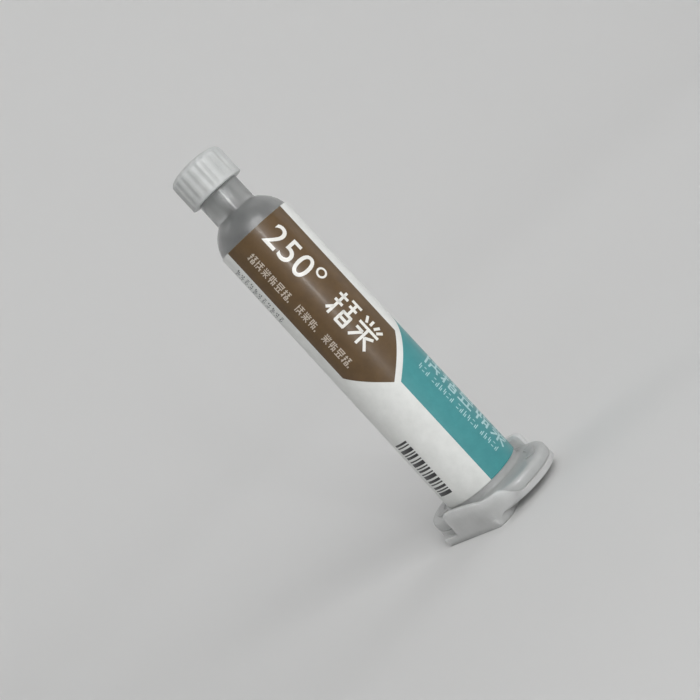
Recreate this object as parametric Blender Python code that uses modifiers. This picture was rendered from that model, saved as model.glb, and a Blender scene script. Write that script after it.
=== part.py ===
"""Solder paste syringe, standing on its end cap with its nose up.

The barrel is one moulding: a tapered tube, a domed shoulder, a luer-lock collar round the nozzle, and a rounded
finger flange at the rear. A label is wrapped round the tube. A ribbed cap closes the nozzle, and an end cap is
clipped over the flange, with its plug in the bore. Inside, a hollow piston with two lips holds the paste.

Metres, +Z from the end cap to the nose, X along the flange's long axis, origin under the centre of the end cap.
"""

import math

import bmesh
import bpy

MM = 0.001

# Round shapes and running clearances
TURN_STEPS = 64
ARC_STEPS = 24
SEAT_GAP = 0.05 * MM
SLIDE_GAP = 0.06 * MM
MERGE = 0.001 * MM

# End cap
BASE_SHORT_PAST = 2.3 * MM
BASE_LONG_PAST = 3.0 * MM
BASE_BULGE = 1.1 * MM
CAP_BASE_THICKNESS = 1.9 * MM
CAP_PLATE_THICKNESS = 1.15 * MM
CLIP_START = 3.9 * MM
CLIP_PAST = 1.4 * MM
CLIP_THICKNESS = 1.0 * MM
CLIP_GAP = 0.3 * MM
CLIP_RISE = 1.9 * MM
CLIP_CORNER = 1.5 * MM
CLIP_SLOPE = 0.6 * MM
WRAP_START_ANGLE = -92.0
WRAP_END_ANGLE = -35.0
WRAP_STEPS = 8
WRAP_DROP = 0.4 * MM
WRAP_FLOOR = 0.45 * MM
LIP_HEIGHT = 1.3 * MM
PLUG_HEIGHT = 5.0 * MM
PLUG_WALL = 1.2 * MM
PLUG_LEAD_IN = 0.4 * MM

# Finger flange
FLANGE_HALF_LENGTH = 17.3 * MM
FLANGE_HALF_WIDTH = 10.3 * MM
FLANGE_THICKNESS = 2.4 * MM
FLANGE_EDGE = 0.4 * MM
FLANGE_FILLET = 0.5 * MM

# Barrel tube and shoulder
BORE_RADIUS = 7.95 * MM
REAR_WALL = 1.29 * MM
FRONT_WALL = 0.84 * MM
TUBE_LENGTH = 70.1 * MM
SHOULDER_HEIGHT = 8.2 * MM
SHOULDER_WALL = 0.85 * MM
SHOULDER_STEPS = 7

# Luer-lock collar and nozzle
COLLAR_RADIUS = 4.95 * MM
COLLAR_WALL = 1.0 * MM
COLLAR_LENGTH = 5.65 * MM
COLLAR_FLOOR = 0.95 * MM
COLLAR_EDGE = 0.25 * MM
NOZZLE_TIP_RADIUS = 1.97 * MM
NOZZLE_TAPER = 0.03
NOZZLE_REACH = 2.0 * MM
NOZZLE_BORE = 1.1 * MM

# Label
LABEL_THICKNESS = 0.1 * MM
LABEL_GAP = 0.03 * MM
LABEL_REAR_MARGIN = 1.6 * MM
LABEL_FRONT_OVERLAP = 1.5 * MM
LABEL_SLIT = 3.0 * MM
LABEL_SLIT_ANGLE = math.radians(145.0)

# Piston and paste
PISTON_FRONT = 30.0 * MM
PISTON_LENGTH = 12.0 * MM
PISTON_NOSE = 4.0 * MM
PISTON_WALL = 1.3 * MM
LIP_BAND = 1.3 * MM
WAIST_DEPTH = 0.55 * MM
PASTE_GAP = 0.05 * MM
PASTE_SHORT = 1.5 * MM

# Tip cap
HEAD_RADIUS = 6.5 * MM
HEAD_HEIGHT = 6.6 * MM
HEAD_CROWN = 1.45 * MM
HEAD_EDGE = 0.35 * MM
HEAD_RIM = 0.7 * MM
FLUTES = 20
FLUTE_RADIUS = 1.15 * MM
FLUTE_DEPTH = 0.28 * MM
FLUTE_PHASE = math.radians(0.0)
SPIGOT_RADIUS = 3.3 * MM
SPIGOT_LENGTH = 3.5 * MM
SOCKET_GAP = 0.08 * MM
SOCKET_SPARE = 0.4 * MM
LUG_DEPTH = 0.5 * MM
LUG_WIDTH = 1.8 * MM
LUG_HEIGHT = 0.8 * MM

# Levels and radii that follow from the sizes above
PLATE_TOP = CAP_BASE_THICKNESS + CAP_PLATE_THICKNESS
FLANGE_REAR = PLATE_TOP + SEAT_GAP
FLANGE_FRONT = FLANGE_REAR + FLANGE_THICKNESS
LOBE_CENTRE = FLANGE_HALF_LENGTH - FLANGE_HALF_WIDTH
BASE_SHORT_END = LOBE_CENTRE + BASE_SHORT_PAST
BASE_LONG_END = LOBE_CENTRE + BASE_LONG_PAST
CLIP_END = LOBE_CENTRE + CLIP_PAST
CLIP_INNER = FLANGE_HALF_WIDTH + CLIP_GAP
CLIP_OUTER = CLIP_INNER + CLIP_THICKNESS
CLIP_TOP = FLANGE_FRONT + CLIP_RISE
SHOULDER_START = FLANGE_FRONT + TUBE_LENGTH
REAR_RADIUS = BORE_RADIUS + REAR_WALL
FRONT_RADIUS = BORE_RADIUS + FRONT_WALL
COLLAR_START = SHOULDER_START + SHOULDER_HEIGHT * math.sqrt(1 - (COLLAR_RADIUS / FRONT_RADIUS) ** 2)
COLLAR_TOP = COLLAR_START + COLLAR_LENGTH
INNER_SHOULDER = SHOULDER_HEIGHT - SHOULDER_WALL
RECESS_FLOOR = COLLAR_START + COLLAR_FLOOR
RECESS_RADIUS = COLLAR_RADIUS - COLLAR_WALL
NOZZLE_TIP = COLLAR_TOP + NOZZLE_REACH
SLIDE_RADIUS = BORE_RADIUS - SLIDE_GAP
CAP_SEAT = COLLAR_TOP + SEAT_GAP


def clear_scene():
    """Remove every object that the startup file holds."""
    for old in list(bpy.data.objects):
        bpy.data.objects.remove(old, do_unlink=True)


def new_collection(name):
    """Make a collection and link it to the scene."""
    collection = bpy.data.collections.new(name)
    bpy.context.scene.collection.children.link(collection)
    return collection


def plastic(name, colour, roughness, alpha=1.0):
    """Make a Principled material of one colour, in linear values."""
    material = bpy.data.materials.new(name)
    material.use_nodes = True
    shader = material.node_tree.nodes["Principled BSDF"]
    shader.inputs["Base Color"].default_value = (*colour, 1.0)
    shader.inputs["Roughness"].default_value = roughness
    shader.inputs["Metallic"].default_value = 0.0
    shader.inputs["Alpha"].default_value = alpha
    return material


def place(obj, collection, material=None):
    """Link an object to its collection and give it its material."""
    collection.objects.link(obj)
    if material:
        obj.data.materials.append(material)
    return obj


def as_helper(obj):
    """Mark an object as a cutter or as a piece that is joined into another."""
    obj.hide_render = True
    obj.display_type = "WIRE"
    return obj


def turned(name, profile, closed, collection, material=None):
    """Turn a profile of (radius, height) points round Z. It runs down the outer side, from top to bottom."""
    mesh = bpy.data.meshes.new(name)
    edges = [(i, i + 1) for i in range(len(profile) - 1)]
    if closed:
        edges.append((len(profile) - 1, 0))
    mesh.from_pydata([(radius, 0.0, height) for radius, height in profile], edges, [])
    obj = place(bpy.data.objects.new(name, mesh), collection, material)
    screw = obj.modifiers.new("Turn", "SCREW")
    screw.steps = TURN_STEPS
    screw.render_steps = TURN_STEPS
    screw.use_merge_vertices = True
    screw.merge_threshold = MERGE
    screw.use_smooth_shade = True
    return obj


def prism(name, outline, bottom, top, collection, material=None):
    """Extrude a flat outline of (x, y) points from one height to another, as a welded mesh."""
    curve = bpy.data.curves.new(name + "_outline", "CURVE")
    curve.dimensions = "2D"
    curve.fill_mode = "BOTH"
    curve.extrude = (top - bottom) / 2
    spline = curve.splines.new("POLY")
    spline.points.add(len(outline) - 1)
    for point, (x, y) in zip(spline.points, outline):
        point.co = (x, y, 0.0, 1.0)
    spline.use_cyclic_u = True
    guide = bpy.data.objects.new(name + "_outline", curve)
    bpy.context.scene.collection.objects.link(guide)
    guide.location.z = (top + bottom) / 2
    bpy.context.view_layer.update()
    evaluated = guide.evaluated_get(bpy.context.evaluated_depsgraph_get())
    mesh = bpy.data.meshes.new_from_object(evaluated)
    mesh.name = name
    obj = bpy.data.objects.new(name, mesh)
    obj.matrix_world = guide.matrix_world
    bpy.data.objects.remove(guide, do_unlink=True)
    weld_caps(mesh)
    return place(obj, collection, material)


def weld_caps(mesh):
    """Join the loose caps of a mesh that was made from a curve."""
    work = bmesh.new()
    work.from_mesh(mesh)
    bmesh.ops.remove_doubles(work, verts=work.verts, dist=MERGE)
    bmesh.ops.recalc_face_normals(work, faces=work.faces)
    work.to_mesh(mesh)
    work.free()


def combine(obj, other, operation):
    """Join another mesh to this one, or cut it away."""
    boolean = obj.modifiers.new(other.name, "BOOLEAN")
    boolean.operation = operation
    boolean.solver = "EXACT"
    boolean.object = other


def smooth(obj, degrees=40):
    """Shade round faces smooth and leave real edges sharp."""
    obj.data.shade_smooth()
    obj.data.set_sharp_from_angle(angle=math.radians(degrees))


def arc(centre, radius, start, end, steps):
    """Points of an arc about (x, y), from one angle in degrees to another, ends included."""
    points = []
    for i in range(steps + 1):
        angle = math.radians(start + (end - start) * i / steps)
        points.append((centre[0] + radius * math.cos(angle), centre[1] + radius * math.sin(angle)))
    return points


def racetrack(half_length, half_width):
    """Outline with two straight sides and two round ends, along X."""
    reach = half_length - half_width
    right = arc((reach, 0.0), half_width, -90, 90, ARC_STEPS)
    left = arc((-reach, 0.0), half_width, 90, 270, ARC_STEPS)
    return right + left


def dome(radius, rise, base, start, end, steps):
    """Points (r, z) on a half ellipse over the axis, between two heights angles in degrees from its foot."""
    points = []
    for i in range(steps + 1):
        angle = math.radians(start + (end - start) * i / steps)
        points.append((radius * math.cos(angle), base + rise * math.sin(angle)))
    return points


def tube_radius(height):
    """Outside radius of the barrel: a straight taper, then the domed shoulder."""
    if height > SHOULDER_START:
        share = (height - SHOULDER_START) / SHOULDER_HEIGHT
        return FRONT_RADIUS * math.sqrt(1 - share * share)
    share = (SHOULDER_START - height) / TUBE_LENGTH
    return FRONT_RADIUS + (REAR_RADIUS - FRONT_RADIUS) * share


def shoulder_angles():
    """Angles in degrees on the outer dome, from its foot to where the collar stands."""
    last = math.degrees(math.acos(COLLAR_RADIUS / FRONT_RADIUS))
    return [last * i / SHOULDER_STEPS for i in range(SHOULDER_STEPS + 1)]


def barrel_outside():
    """Outer profile from the nozzle tip down to the inside of the flange, with the collar left solid."""
    points = [(0.0, NOZZLE_TIP), (NOZZLE_TIP_RADIUS, NOZZLE_TIP)]
    points.append((NOZZLE_TIP_RADIUS + NOZZLE_TAPER * NOZZLE_REACH, COLLAR_TOP))
    points.append((COLLAR_RADIUS - COLLAR_EDGE, COLLAR_TOP))
    points.append((COLLAR_RADIUS, COLLAR_TOP - COLLAR_EDGE))
    for degrees in reversed(shoulder_angles()):
        angle = math.radians(degrees)
        points.append((FRONT_RADIUS * math.cos(angle), SHOULDER_START + SHOULDER_HEIGHT * math.sin(angle)))
    foot = FLANGE_FRONT + FLANGE_FILLET
    centre = (tube_radius(foot) + FLANGE_FILLET, foot)
    points += arc(centre, FLANGE_FILLET, 180, 270, 5)
    inside = FLANGE_REAR + FLANGE_THICKNESS / 2
    points.append((centre[0], inside))
    points.append((0.0, inside))
    return points


def bore_profile():
    """Profile of everything inside the barrel: the nozzle's hole, the inner dome and the bore."""
    past = FLANGE_THICKNESS
    points = [(0.0, NOZZLE_TIP + past), (NOZZLE_BORE, NOZZLE_TIP + past)]
    last = math.degrees(math.acos(NOZZLE_BORE / BORE_RADIUS))
    points += reversed(dome(BORE_RADIUS, INNER_SHOULDER, SHOULDER_START, 0, last, SHOULDER_STEPS))
    points += [(BORE_RADIUS, FLANGE_REAR - past), (0.0, FLANGE_REAR - past)]
    return points


def recess_profile():
    """Profile of the ring-shaped gap between the collar and the tapered nozzle."""
    above = COLLAR_TOP + COLLAR_EDGE
    return [
        (RECESS_RADIUS, above),
        (RECESS_RADIUS, RECESS_FLOOR),
        (nozzle_radius(RECESS_FLOOR), RECESS_FLOOR),
        (nozzle_radius(above), above),
    ]


def nozzle_radius(height):
    """Outside radius of the tapered nozzle at a height."""
    return NOZZLE_TIP_RADIUS + NOZZLE_TAPER * (NOZZLE_TIP - height)


def make_barrel(parts, helpers, material):
    """One moulding: tube, shoulder, collar, nozzle and finger flange."""
    barrel = turned("barrel", barrel_outside(), False, parts, material)
    outline = racetrack(FLANGE_HALF_LENGTH, FLANGE_HALF_WIDTH)
    flange = as_helper(prism("finger_flange", outline, FLANGE_REAR, FLANGE_FRONT, helpers))
    round_rims(flange, FLANGE_EDGE)
    bore = as_helper(turned("bore_cutter", bore_profile(), False, helpers))
    recess = as_helper(turned("recess_cutter", recess_profile(), True, helpers))
    combine(barrel, flange, "UNION")
    combine(barrel, bore, "DIFFERENCE")
    combine(barrel, recess, "DIFFERENCE")
    return barrel


def round_rims(obj, width):
    """Round the upper and lower rims of a prism."""
    bevel = obj.modifiers.new("Rims", "BEVEL")
    bevel.width = width
    bevel.segments = 2
    bevel.limit_method = "ANGLE"
    bevel.angle_limit = math.radians(60)


def label_profile():
    """Section of the label film, which follows the outside of the barrel."""
    rear = FLANGE_FRONT + LABEL_REAR_MARGIN
    front = SHOULDER_START + LABEL_FRONT_OVERLAP
    steps = [SHOULDER_START + SHOULDER_HEIGHT * math.sin(math.radians(d)) for d in shoulder_angles()]
    levels = [front] + [z for z in reversed(steps) if z < front - LABEL_THICKNESS] + [rear]
    outer = [(tube_radius(z) + LABEL_GAP + LABEL_THICKNESS, z) for z in levels]
    inner = [(tube_radius(z) + LABEL_GAP, z) for z in reversed(levels)]
    return outer + inner


def make_label(parts, helpers, material):
    """A film wrapped round the tube, whose two ends leave a narrow strip open at the back."""
    label = turned("label", label_profile(), True, parts, material)
    reach = REAR_RADIUS + FLANGE_HALF_WIDTH
    outline = [(0.0, -LABEL_SLIT / 2), (reach, -LABEL_SLIT / 2), (reach, LABEL_SLIT / 2), (0.0, LABEL_SLIT / 2)]
    slit = as_helper(prism("label_slit_cutter", outline, 0.0, NOZZLE_TIP, helpers))
    slit.rotation_euler.z = LABEL_SLIT_ANGLE
    combine(label, slit, "DIFFERENCE")
    return label


def piston_nose(lift):
    """Points (r, z) of the piston's domed front from its crown to its rim, raised by a gap."""
    points = dome(SLIDE_RADIUS, PISTON_NOSE, PISTON_FRONT + lift, 0, 90, SHOULDER_STEPS)
    points[-1] = (0.0, PISTON_FRONT + lift + PISTON_NOSE)
    return list(reversed(points))


def make_piston(parts, material):
    """A hollow cup, open to the rear, with a lip at each end and a waist between them."""
    rear = PISTON_FRONT - PISTON_LENGTH
    waist = SLIDE_RADIUS - WAIST_DEPTH
    points = piston_nose(0.0)
    points.append((SLIDE_RADIUS, PISTON_FRONT - LIP_BAND))
    points.append((waist, PISTON_FRONT - LIP_BAND - WAIST_DEPTH))
    points.append((waist, rear + LIP_BAND + WAIST_DEPTH))
    points.append((SLIDE_RADIUS, rear + LIP_BAND))
    points.append((SLIDE_RADIUS, rear))
    hollow = waist - PISTON_WALL
    points.append((hollow, rear))
    inner = dome(hollow, PISTON_NOSE, PISTON_FRONT - PISTON_WALL, 0, 90, SHOULDER_STEPS)
    inner[-1] = (0.0, PISTON_FRONT - PISTON_WALL + PISTON_NOSE)
    points += inner
    return turned("piston", points, False, parts, material)


def make_paste(parts, material):
    """The paste between the piston and the nozzle, a hair clear of the bore."""
    top = NOZZLE_TIP - PASTE_SHORT
    radius = NOZZLE_BORE - PASTE_GAP
    last = math.degrees(math.acos(radius / (BORE_RADIUS - PASTE_GAP)))
    rise = INNER_SHOULDER - PASTE_GAP
    front = dome(BORE_RADIUS - PASTE_GAP, rise, SHOULDER_START, 0, last, SHOULDER_STEPS)
    points = [(0.0, top), (radius, top)]
    points += reversed(front)
    points += [(BORE_RADIUS - PASTE_GAP, PISTON_FRONT + PASTE_GAP)]
    points += reversed(piston_nose(PASTE_GAP))
    return turned("solder_paste", points, False, parts, material)


def make_tip_cap(parts, helpers, material):
    """A ribbed head over a spigot that goes into the collar, with a tapered socket for the nozzle and two lugs."""
    bottom = CAP_SEAT
    corner = bottom + HEAD_HEIGHT
    crown = dome(HEAD_RADIUS - HEAD_EDGE, HEAD_CROWN, corner, 0, 90, SHOULDER_STEPS)
    crown[-1] = (0.0, corner + HEAD_CROWN)
    spigot_end = bottom - SPIGOT_LENGTH
    roof = NOZZLE_TIP + SOCKET_SPARE
    points = list(reversed(crown))
    points.append((HEAD_RADIUS, corner - HEAD_EDGE))
    points += [(HEAD_RADIUS, bottom + HEAD_EDGE), (HEAD_RADIUS - HEAD_EDGE, bottom)]
    points += [(SPIGOT_RADIUS, bottom), (SPIGOT_RADIUS, spigot_end)]
    points.append((nozzle_radius(spigot_end) + SOCKET_GAP, spigot_end))
    points += [(nozzle_radius(roof) + SOCKET_GAP, roof), (0.0, roof)]
    cap = turned("tip_cap", points, False, parts, material)
    cut_flutes(cap, bottom + HEAD_RIM, corner + HEAD_CROWN * 2)
    add_lugs(cap, spigot_end, helpers)
    return cap


def cut_flutes(cap, bottom, top):
    """Cut shallow upright flutes round the head, leaving a plain rim at its foot."""
    cutters = new_collection("flute_cutters")
    distance = HEAD_RADIUS + FLUTE_RADIUS - FLUTE_DEPTH
    for i in range(FLUTES):
        angle = FLUTE_PHASE + 2 * math.pi * i / FLUTES
        bpy.ops.mesh.primitive_cylinder_add(vertices=ARC_STEPS, radius=FLUTE_RADIUS, depth=top - bottom)
        cutter = as_helper(bpy.context.object)
        cutter.name = f"flute_cutter_{i + 1:02d}"
        cutter.location = (distance * math.cos(angle), distance * math.sin(angle), (top + bottom) / 2)
        cutter.rotation_euler.z = angle
        for owner in list(cutter.users_collection):
            owner.objects.unlink(cutter)
        cutters.objects.link(cutter)
    boolean = cap.modifiers.new("Flutes", "BOOLEAN")
    boolean.operation = "DIFFERENCE"
    boolean.solver = "EXACT"
    boolean.operand_type = "COLLECTION"
    boolean.collection = cutters


def add_lugs(cap, spigot_end, helpers):
    """Two lugs at the end of the spigot, which turn into the thread of the collar."""
    start = SPIGOT_RADIUS - LUG_DEPTH
    reach = SPIGOT_RADIUS + LUG_DEPTH
    half = LUG_WIDTH / 2
    outline = [(start, -half), (reach, -half), (reach, half), (start, half)]
    for name, angle in (("lug_right", 0.0), ("lug_left", math.pi)):
        lug = as_helper(prism(name, outline, spigot_end, spigot_end + LUG_HEIGHT, helpers))
        lug.rotation_euler.z = angle
        combine(cap, lug, "UNION")


def base_outline():
    """Outline of the base: straight sides, and ends that bulge where a clip wall turns round the flange."""
    side = CLIP_OUTER - SEAT_GAP
    half = [
        (-BASE_SHORT_END, -side),
        (BASE_LONG_END, -side),
        (BASE_LONG_END + 0.64 * BASE_BULGE, -0.88 * side),
        (BASE_LONG_END + BASE_BULGE, -0.72 * side),
        (BASE_LONG_END + 0.55 * BASE_BULGE, -0.57 * side),
        (BASE_LONG_END - 0.20 * BASE_BULGE, -0.40 * side),
        (BASE_LONG_END - BASE_BULGE, -0.17 * side),
    ]
    return half + [(-x, -y) for x, y in half]


def clip_outline():
    """Straight clip wall seen from outside, as (x, height): one rounded corner, and a slope down to the wrap."""
    corner = arc((-CLIP_START + CLIP_CORNER, CLIP_TOP - CLIP_CORNER), CLIP_CORNER, 90, 180, 6)
    slope = [(CLIP_END, CLIP_TOP - CLIP_SLOPE), (CLIP_END - CLIP_SLOPE, CLIP_TOP)]
    foot = CAP_BASE_THICKNESS / 2
    return [(-CLIP_START, foot), (CLIP_END, foot)] + slope + corner


def wrap_outline(inner, outer):
    """Plan of the part of a clip wall that turns round one end of the flange, between two radii."""
    centre = (LOBE_CENTRE, 0.0)
    inside = arc(centre, inner, WRAP_END_ANGLE, WRAP_START_ANGLE, WRAP_STEPS)
    outside = arc(centre, outer, WRAP_START_ANGLE, WRAP_END_ANGLE, WRAP_STEPS)
    return inside + outside


def make_wrap(side, helpers):
    """The turned part of one clip wall, and the strip of floor that joins it to the plate."""
    bottom = PLATE_TOP - 1.3 * WRAP_FLOOR
    wall_plan = wrap_outline(CLIP_INNER + SEAT_GAP, CLIP_OUTER - SEAT_GAP)
    floor_plan = wrap_outline(FLANGE_HALF_WIDTH - CLIP_THICKNESS / 2, CLIP_INNER + CLIP_THICKNESS / 2)
    wall = as_helper(prism(f"wrap_wall_{side}", wall_plan, bottom, CLIP_TOP - WRAP_DROP, helpers))
    floor = as_helper(prism(f"wrap_floor_{side}", floor_plan, bottom + WRAP_FLOOR / 5, bottom + WRAP_FLOOR, helpers))
    if side == "far":
        wall.rotation_euler.z = math.pi
        floor.rotation_euler.z = math.pi
    return wall, floor


def lip_outline():
    """Section of the snap lip, as (distance from the centre, height), just clear of the flange's edge."""
    edge = FLANGE_HALF_WIDTH + SEAT_GAP
    root = CLIP_INNER + CLIP_THICKNESS / 2
    under = CLIP_TOP - CLIP_CORNER / 4 - LIP_HEIGHT
    middle = under + LIP_HEIGHT / 3
    over = under + LIP_HEIGHT
    return [(root, under), (CLIP_INNER, under), (edge, middle), (CLIP_INNER, over), (root, over)]


def make_clip(side, helpers):
    """One clip wall and its lip, as two helpers. The second side is the first turned half a turn about Z."""
    wall = as_helper(prism(f"clip_wall_{side}", clip_outline(), -CLIP_THICKNESS / 2, CLIP_THICKNESS / 2, helpers))
    length = CLIP_START + CLIP_END - 3 * CLIP_CORNER
    lip = as_helper(prism(f"clip_lip_{side}", lip_outline(), -length / 2, length / 2, helpers))
    turn = 0.0 if side == "near" else math.pi
    away = 1.0 if side == "near" else -1.0
    middle = (CLIP_END - CLIP_START) / 2 - CLIP_CORNER / 2
    wall.rotation_euler = (math.pi / 2, 0.0, turn)
    wall.location = (0.0, -away * (CLIP_INNER + CLIP_THICKNESS / 2), 0.0)
    lip.rotation_euler = (math.pi / 2, 0.0, turn - math.pi / 2)
    lip.location = (away * middle, 0.0, 0.0)
    return wall, lip


def plug_profile():
    """Section of the plug ring, which stands on the plate inside the bore."""
    outer = SLIDE_RADIUS
    inner = outer - PLUG_WALL
    top = PLATE_TOP + PLUG_HEIGHT
    foot = PLATE_TOP - CAP_PLATE_THICKNESS / 2
    return [(outer - PLUG_LEAD_IN, top), (outer, top - PLUG_LEAD_IN), (outer, foot), (inner, foot), (inner, top)]


def make_end_cap(parts, helpers, material):
    """One moulding: base, plate of the flange's outline, two clip walls with lips, and the plug ring."""
    base = prism("end_cap", base_outline(), 0.0, CAP_BASE_THICKNESS, parts, material)
    outline = racetrack(FLANGE_HALF_LENGTH, FLANGE_HALF_WIDTH)
    plate = as_helper(prism("end_cap_plate", outline, CAP_BASE_THICKNESS, PLATE_TOP, helpers))
    round_rims(plate, CAP_PLATE_THICKNESS / 4)
    combine(base, plate, "UNION")
    for side in ("near", "far"):
        for piece in make_clip(side, helpers) + make_wrap(side, helpers):
            combine(base, piece, "UNION")
    combine(base, as_helper(turned("plug_ring", plug_profile(), True, helpers)), "UNION")
    return base


def build():
    """Make every piece of the syringe."""
    clear_scene()
    parts = new_collection("solder_paste_syringe")
    helpers = new_collection("cutters")
    clear_plastic = plastic("clear_polypropylene", (0.52, 0.53, 0.52), 0.28, 0.55)
    cap_plastic = plastic("white_polypropylene", (0.62, 0.63, 0.62), 0.35)
    film = plastic("printed_film", (0.70, 0.71, 0.69), 0.25)
    paste = plastic("grey_paste", (0.16, 0.16, 0.165), 0.45)
    wiper = plastic("wiper_plastic", (0.75, 0.75, 0.73), 0.4)
    made = [
        make_end_cap(parts, helpers, clear_plastic),
        make_barrel(parts, helpers, clear_plastic),
        make_label(parts, helpers, film),
        make_paste(parts, paste),
        make_piston(parts, wiper),
        make_tip_cap(parts, helpers, cap_plastic),
    ]
    for obj in made:
        smooth(obj)


build()
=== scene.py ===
import math

import bmesh
import bpy
import numpy as np
from mathutils import Matrix, Vector


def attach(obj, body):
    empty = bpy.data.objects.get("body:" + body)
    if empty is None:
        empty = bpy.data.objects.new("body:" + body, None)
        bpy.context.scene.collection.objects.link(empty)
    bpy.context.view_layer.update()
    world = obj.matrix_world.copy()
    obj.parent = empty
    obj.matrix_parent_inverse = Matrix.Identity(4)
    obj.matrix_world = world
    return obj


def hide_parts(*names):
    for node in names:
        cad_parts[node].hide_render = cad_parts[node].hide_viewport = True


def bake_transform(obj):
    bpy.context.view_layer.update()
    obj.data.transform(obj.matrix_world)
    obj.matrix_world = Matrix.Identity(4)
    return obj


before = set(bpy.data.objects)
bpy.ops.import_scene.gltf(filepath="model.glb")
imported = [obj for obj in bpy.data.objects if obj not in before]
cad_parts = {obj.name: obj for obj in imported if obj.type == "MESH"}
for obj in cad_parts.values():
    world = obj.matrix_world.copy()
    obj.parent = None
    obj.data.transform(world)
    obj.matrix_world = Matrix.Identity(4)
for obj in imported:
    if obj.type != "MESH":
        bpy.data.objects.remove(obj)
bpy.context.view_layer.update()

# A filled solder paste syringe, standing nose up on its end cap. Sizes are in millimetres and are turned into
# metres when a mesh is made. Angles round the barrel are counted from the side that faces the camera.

MM = 0.001
SCENE = bpy.context.scene


# Camera
# It stands as in the photograph: level with the upper half of the barrel, looking slightly down, and rolled
# so that the syringe leans over the picture from upper left to lower right.


def put(name, data):
    """New object that holds the data, linked into the scene at the origin."""
    obj = bpy.data.objects.new(name, data)
    SCENE.collection.objects.link(obj)
    return obj


FACING = math.radians(55.0)
PITCH = math.radians(4.5)
ROLL = math.radians(42.7)
CAMERA_DISTANCE = 253.0
AIM = (-2.07, 45.44)

toward = Vector((math.sin(FACING), -math.cos(FACING), 0.0))
rightward = Vector((math.cos(FACING), math.sin(FACING), 0.0))
sight = toward * math.cos(PITCH) + Vector((0.0, 0.0, math.sin(PITCH)))
lens = bpy.data.cameras.new("camera")
lens.sensor_width = 36.0
lens.lens = 36.0 * 1212.0 / 700.0
lens.clip_start = 0.005
lens.clip_end = 20.0
camera = put("camera", lens)
aim_point = rightward * AIM[0] + Vector((0.0, 0.0, AIM[1]))
camera.location = (aim_point + sight * CAMERA_DISTANCE) * MM
camera.rotation_mode = "QUATERNION"
camera.rotation_quaternion = sight.to_track_quat("Z", "Y") @ Matrix.Rotation(-ROLL, 3, "Z").to_quaternion()
SCENE.camera = camera


# Floor and backdrop
# A pale matt sweep, flat under the syringe and curving up into a wall all round, as a photo tent has.

SWEEP_FLAT = 420.0
SWEEP_BEND = 520.0
SWEEP_HEIGHT = 1500.0


def polar_mesh(name, rho, z, phi, loop):
    """Skin of points round Z: point (i, j) is (rho_ij cos phi_j, rho_ij sin phi_j, z_ij), in millimetres.

    Rows run down the outer side. A row with no radius becomes one point. With loop, the last row joins the first.
    """
    rho = np.broadcast_to(np.asarray(rho, float), (len(z), len(phi)))
    height = np.broadcast_to(np.asarray(z, float).reshape(len(z), -1), rho.shape)
    points = np.stack([rho * np.cos(phi), rho * np.sin(phi), height], axis=-1) * MM
    pole = rho.max(axis=1) < 1e-6
    first = np.concatenate([[0], np.cumsum(np.where(pole, 1, len(phi)))[:-1]])
    index = first[:, None] + np.where(pole[:, None], 0, np.arange(len(phi))[None, :])
    kept = np.concatenate([points[i, :1] if pole[i] else points[i] for i in range(len(z))])
    faces = []
    for i in range(len(z) if loop else len(z) - 1):
        a, b = index[i], index[(i + 1) % len(z)]
        if pole[i] and pole[(i + 1) % len(z)]:
            continue
        a_next, b_next = np.roll(a, -1), np.roll(b, -1)
        if pole[i]:
            faces += np.stack([a, b, b_next], axis=1).tolist()
        elif pole[(i + 1) % len(z)]:
            faces += np.stack([a, b, a_next], axis=1).tolist()
        else:
            faces += np.stack([a, b, b_next, a_next], axis=1).tolist()
    mesh = bpy.data.meshes.new(name)
    mesh.from_pydata(kept.tolist(), [], faces)
    mesh.shade_smooth()
    mesh.set_sharp_from_angle(angle=math.radians(38))
    return put(name, mesh)


def add(tree, kind, **values):
    """Add a shader node, set the inputs and properties that are given by name, and return it."""
    made = tree.nodes.new(kind)
    for key, value in values.items():
        if hasattr(made, key):
            setattr(made, key, value)
        else:
            made.inputs[key.replace("_", " ")].default_value = value
    return made


def principled(name, colour, roughness, **values):
    """New material with one Principled shader, its fixed values set on its own sockets."""
    material = bpy.data.materials.new(name)
    material.use_nodes = True
    shader = material.node_tree.nodes["Principled BSDF"]
    shader.inputs["Base Color"].default_value = (*colour, 1.0)
    shader.inputs["Roughness"].default_value = roughness
    for key, value in values.items():
        shader.inputs[key.replace("_", " ")].default_value = value
    return material, material.node_tree, shader


def shader_group(name, inputs, outputs):
    """Empty shader node group with named input and output sockets, and its input and output nodes."""
    group = bpy.data.node_groups.new(name, "ShaderNodeTree")
    for label, kind in inputs.items():
        group.interface.new_socket(label, in_out="INPUT", socket_type="NodeSocket" + kind)
    for label, kind in outputs.items():
        group.interface.new_socket(label, in_out="OUTPUT", socket_type="NodeSocket" + kind)
    return group, group.nodes.new("NodeGroupInput"), group.nodes.new("NodeGroupOutput")


def place(tree, group, **values):
    """Put a node group into a material with its own values, and give it Object coordinates."""
    made = add(tree, "ShaderNodeGroup", node_tree=group, **values)
    where = tree.nodes.new("ShaderNodeTexCoord")
    tree.links.new(where.outputs["Object"], made.inputs["Vector"])
    return made


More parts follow.
